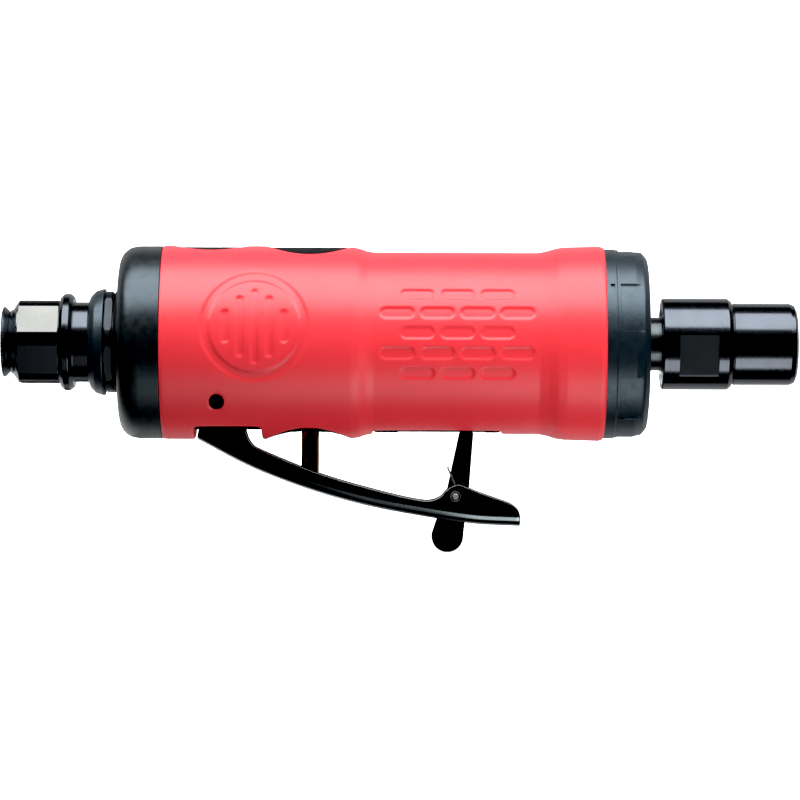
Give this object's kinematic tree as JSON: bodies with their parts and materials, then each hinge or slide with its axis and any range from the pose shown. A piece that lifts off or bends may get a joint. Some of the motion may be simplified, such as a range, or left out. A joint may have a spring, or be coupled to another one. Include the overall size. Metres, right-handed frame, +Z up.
{
  "type": "die grinder",
  "caption": "Straight air-driven die grinder with a rubber grip sleeve, squeeze throttle lever, fold-away safety lock, hexagonal air inlet and a quarter-inch collet.",
  "frame": {"origin": "on the spindle axis, on the flat stop at the bottom of the shank bore", "axes": "+X along the spindle towards the collet, +Z up, throttle lever at -Z"},
  "size_m": [0.1645, 0.0404, 0.0635],
  "materials": {
    "red_rubber": "matte overmoulded elastomer",
    "black_rubber": "matte moulded rubber",
    "black_composite": "fine-grained moulded composite",
    "black_plastic": "moulded plastic",
    "black_oxide_steel": "black oxide, oiled",
    "bright_steel": "ground steel",
    "bronze": "turned bronze",
    "cast_iron": "ground",
    "vane_fibre": "phenolic fibre",
    "felt": "pressed felt",
    "nitrile": "nitrile seal"
  },
  "bodies": {
    "housing": {"inlet_bushing": "black_oxide_steel", "inlet_screen": "bright_steel", "inlet_collar": "black_composite", "inlet_lock_nut": "black_oxide_steel", "inlet_washer": "black_oxide_steel", "inlet_seal": "nitrile", "rear_cap": "black_rubber", "motor_housing": "black_composite", "grip_sleeve": "red_rubber", "valve_bushing": "bronze", "valve_bushing_o_ring": "nitrile", "valve_seat": "bronze", "valve_spring": "bright_steel", "cylinder_liner": "cast_iron", "rear_end_plate": "cast_iron", "rear_locating_pin": "bright_steel", "preload_washer": "bright_steel", "rear_bearing_outer_ring": "bright_steel", "front_end_plate": "cast_iron", "front_locating_pin": "bright_steel", "front_bearing_outer_ring": "bright_steel", "front_cap": "black_composite", "front_gasket": "nitrile", "exhaust_silencer": "felt", "spindle_seal": "felt", "lever_pivot_pin": "black_oxide_steel"},
    "dust_plug": {"inlet_dust_plug": "black_plastic"},
    "rotor": {"rotor": "cast_iron", "rotor_vane_1": "vane_fibre", "rotor_vane_2": "vane_fibre", "rotor_vane_3": "vane_fibre", "rotor_vane_4": "vane_fibre", "rotor_vane_5": "vane_fibre", "spindle": "black_oxide_steel", "bearing_spacer": "bright_steel", "rear_bearing_inner_ring": "bright_steel", "front_bearing_inner_ring": "bright_steel", "rear_retaining_ring": "bright_steel"},
    "rear_ball_cage": {"rear_bearing_ball_cage": "bright_steel"},
    "front_ball_cage": {"front_bearing_ball_cage": "bright_steel"},
    "collet": {"collet": "black_oxide_steel"},
    "collet_nut": {"collet_nut": "black_oxide_steel"},
    "throttle_lever": {"throttle_lever": "black_oxide_steel", "lock_pivot_pin": "bright_steel"},
    "lock_lever": {"lock_lever": "black_oxide_steel", "lock_spring": "bright_steel"},
    "valve_stem": {"valve_stem": "black_oxide_steel"}
  },
  "joints": [
    {"name": "rotor_spin", "type": "hinge", "parent": "housing", "child": "rotor", "pos_m": [0, 0, 0], "axis": [1, 0, 0], "continuous": true},
    {"name": "rear_cage_spin", "type": "hinge", "parent": "housing", "child": "rear_ball_cage", "pos_m": [0, 0, 0], "axis": [1, 0, 0], "continuous": true},
    {"name": "front_cage_spin", "type": "hinge", "parent": "housing", "child": "front_ball_cage", "pos_m": [0, 0, 0], "axis": [1, 0, 0], "continuous": true},
    {"name": "collet_feed", "type": "slide", "parent": "rotor", "child": "collet", "axis": [1, 0, 0], "range_m": [0, 0.001]},
    {"name": "nut_turn", "type": "hinge", "parent": "collet", "child": "collet_nut", "pos_m": [0, 0, 0], "axis": [1, 0, 0], "range_deg": [0, 360]},
    {"name": "lever_squeeze", "type": "hinge", "parent": "housing", "child": "throttle_lever", "pos_m": [-0.0894, 0, -0.01226], "axis": [0, -1, 0], "range_deg": [0, 11.5], "stiffness_Nm_per_rad": 0.6, "springref_deg": -17.19},
    {"name": "lock_fold", "type": "hinge", "parent": "throttle_lever", "child": "lock_lever", "pos_m": [-0.04047, 0, -0.03166], "axis": [0, -1, 0], "range_deg": [0, 78], "deforming": ["lock_spring"]},
    {"name": "valve_lift", "type": "slide", "parent": "housing", "child": "valve_stem", "axis": [0, 0, 1], "range_m": [0, 0.0044], "deforming": ["valve_spring"]},
    {"name": "dust_plug_pull", "type": "slide", "parent": "housing", "child": "dust_plug", "axis": [-1, 0, 0], "range_m": [0, 0.02]}
  ],
  "couplings": [
    {"joint": "rear_cage_spin", "follows": "rotor_spin", "ratio": 0.388},
    {"joint": "front_cage_spin", "follows": "rotor_spin", "ratio": 0.407},
    {"joint": "nut_turn", "follows": "collet_feed", "rad_per_m": 6283},
    {"joint": "lock_fold", "follows": "lever_squeeze", "ratio": 6.78},
    {"joint": "valve_lift", "follows": "lever_squeeze", "m_per_rad": 0.0218}
  ]
}
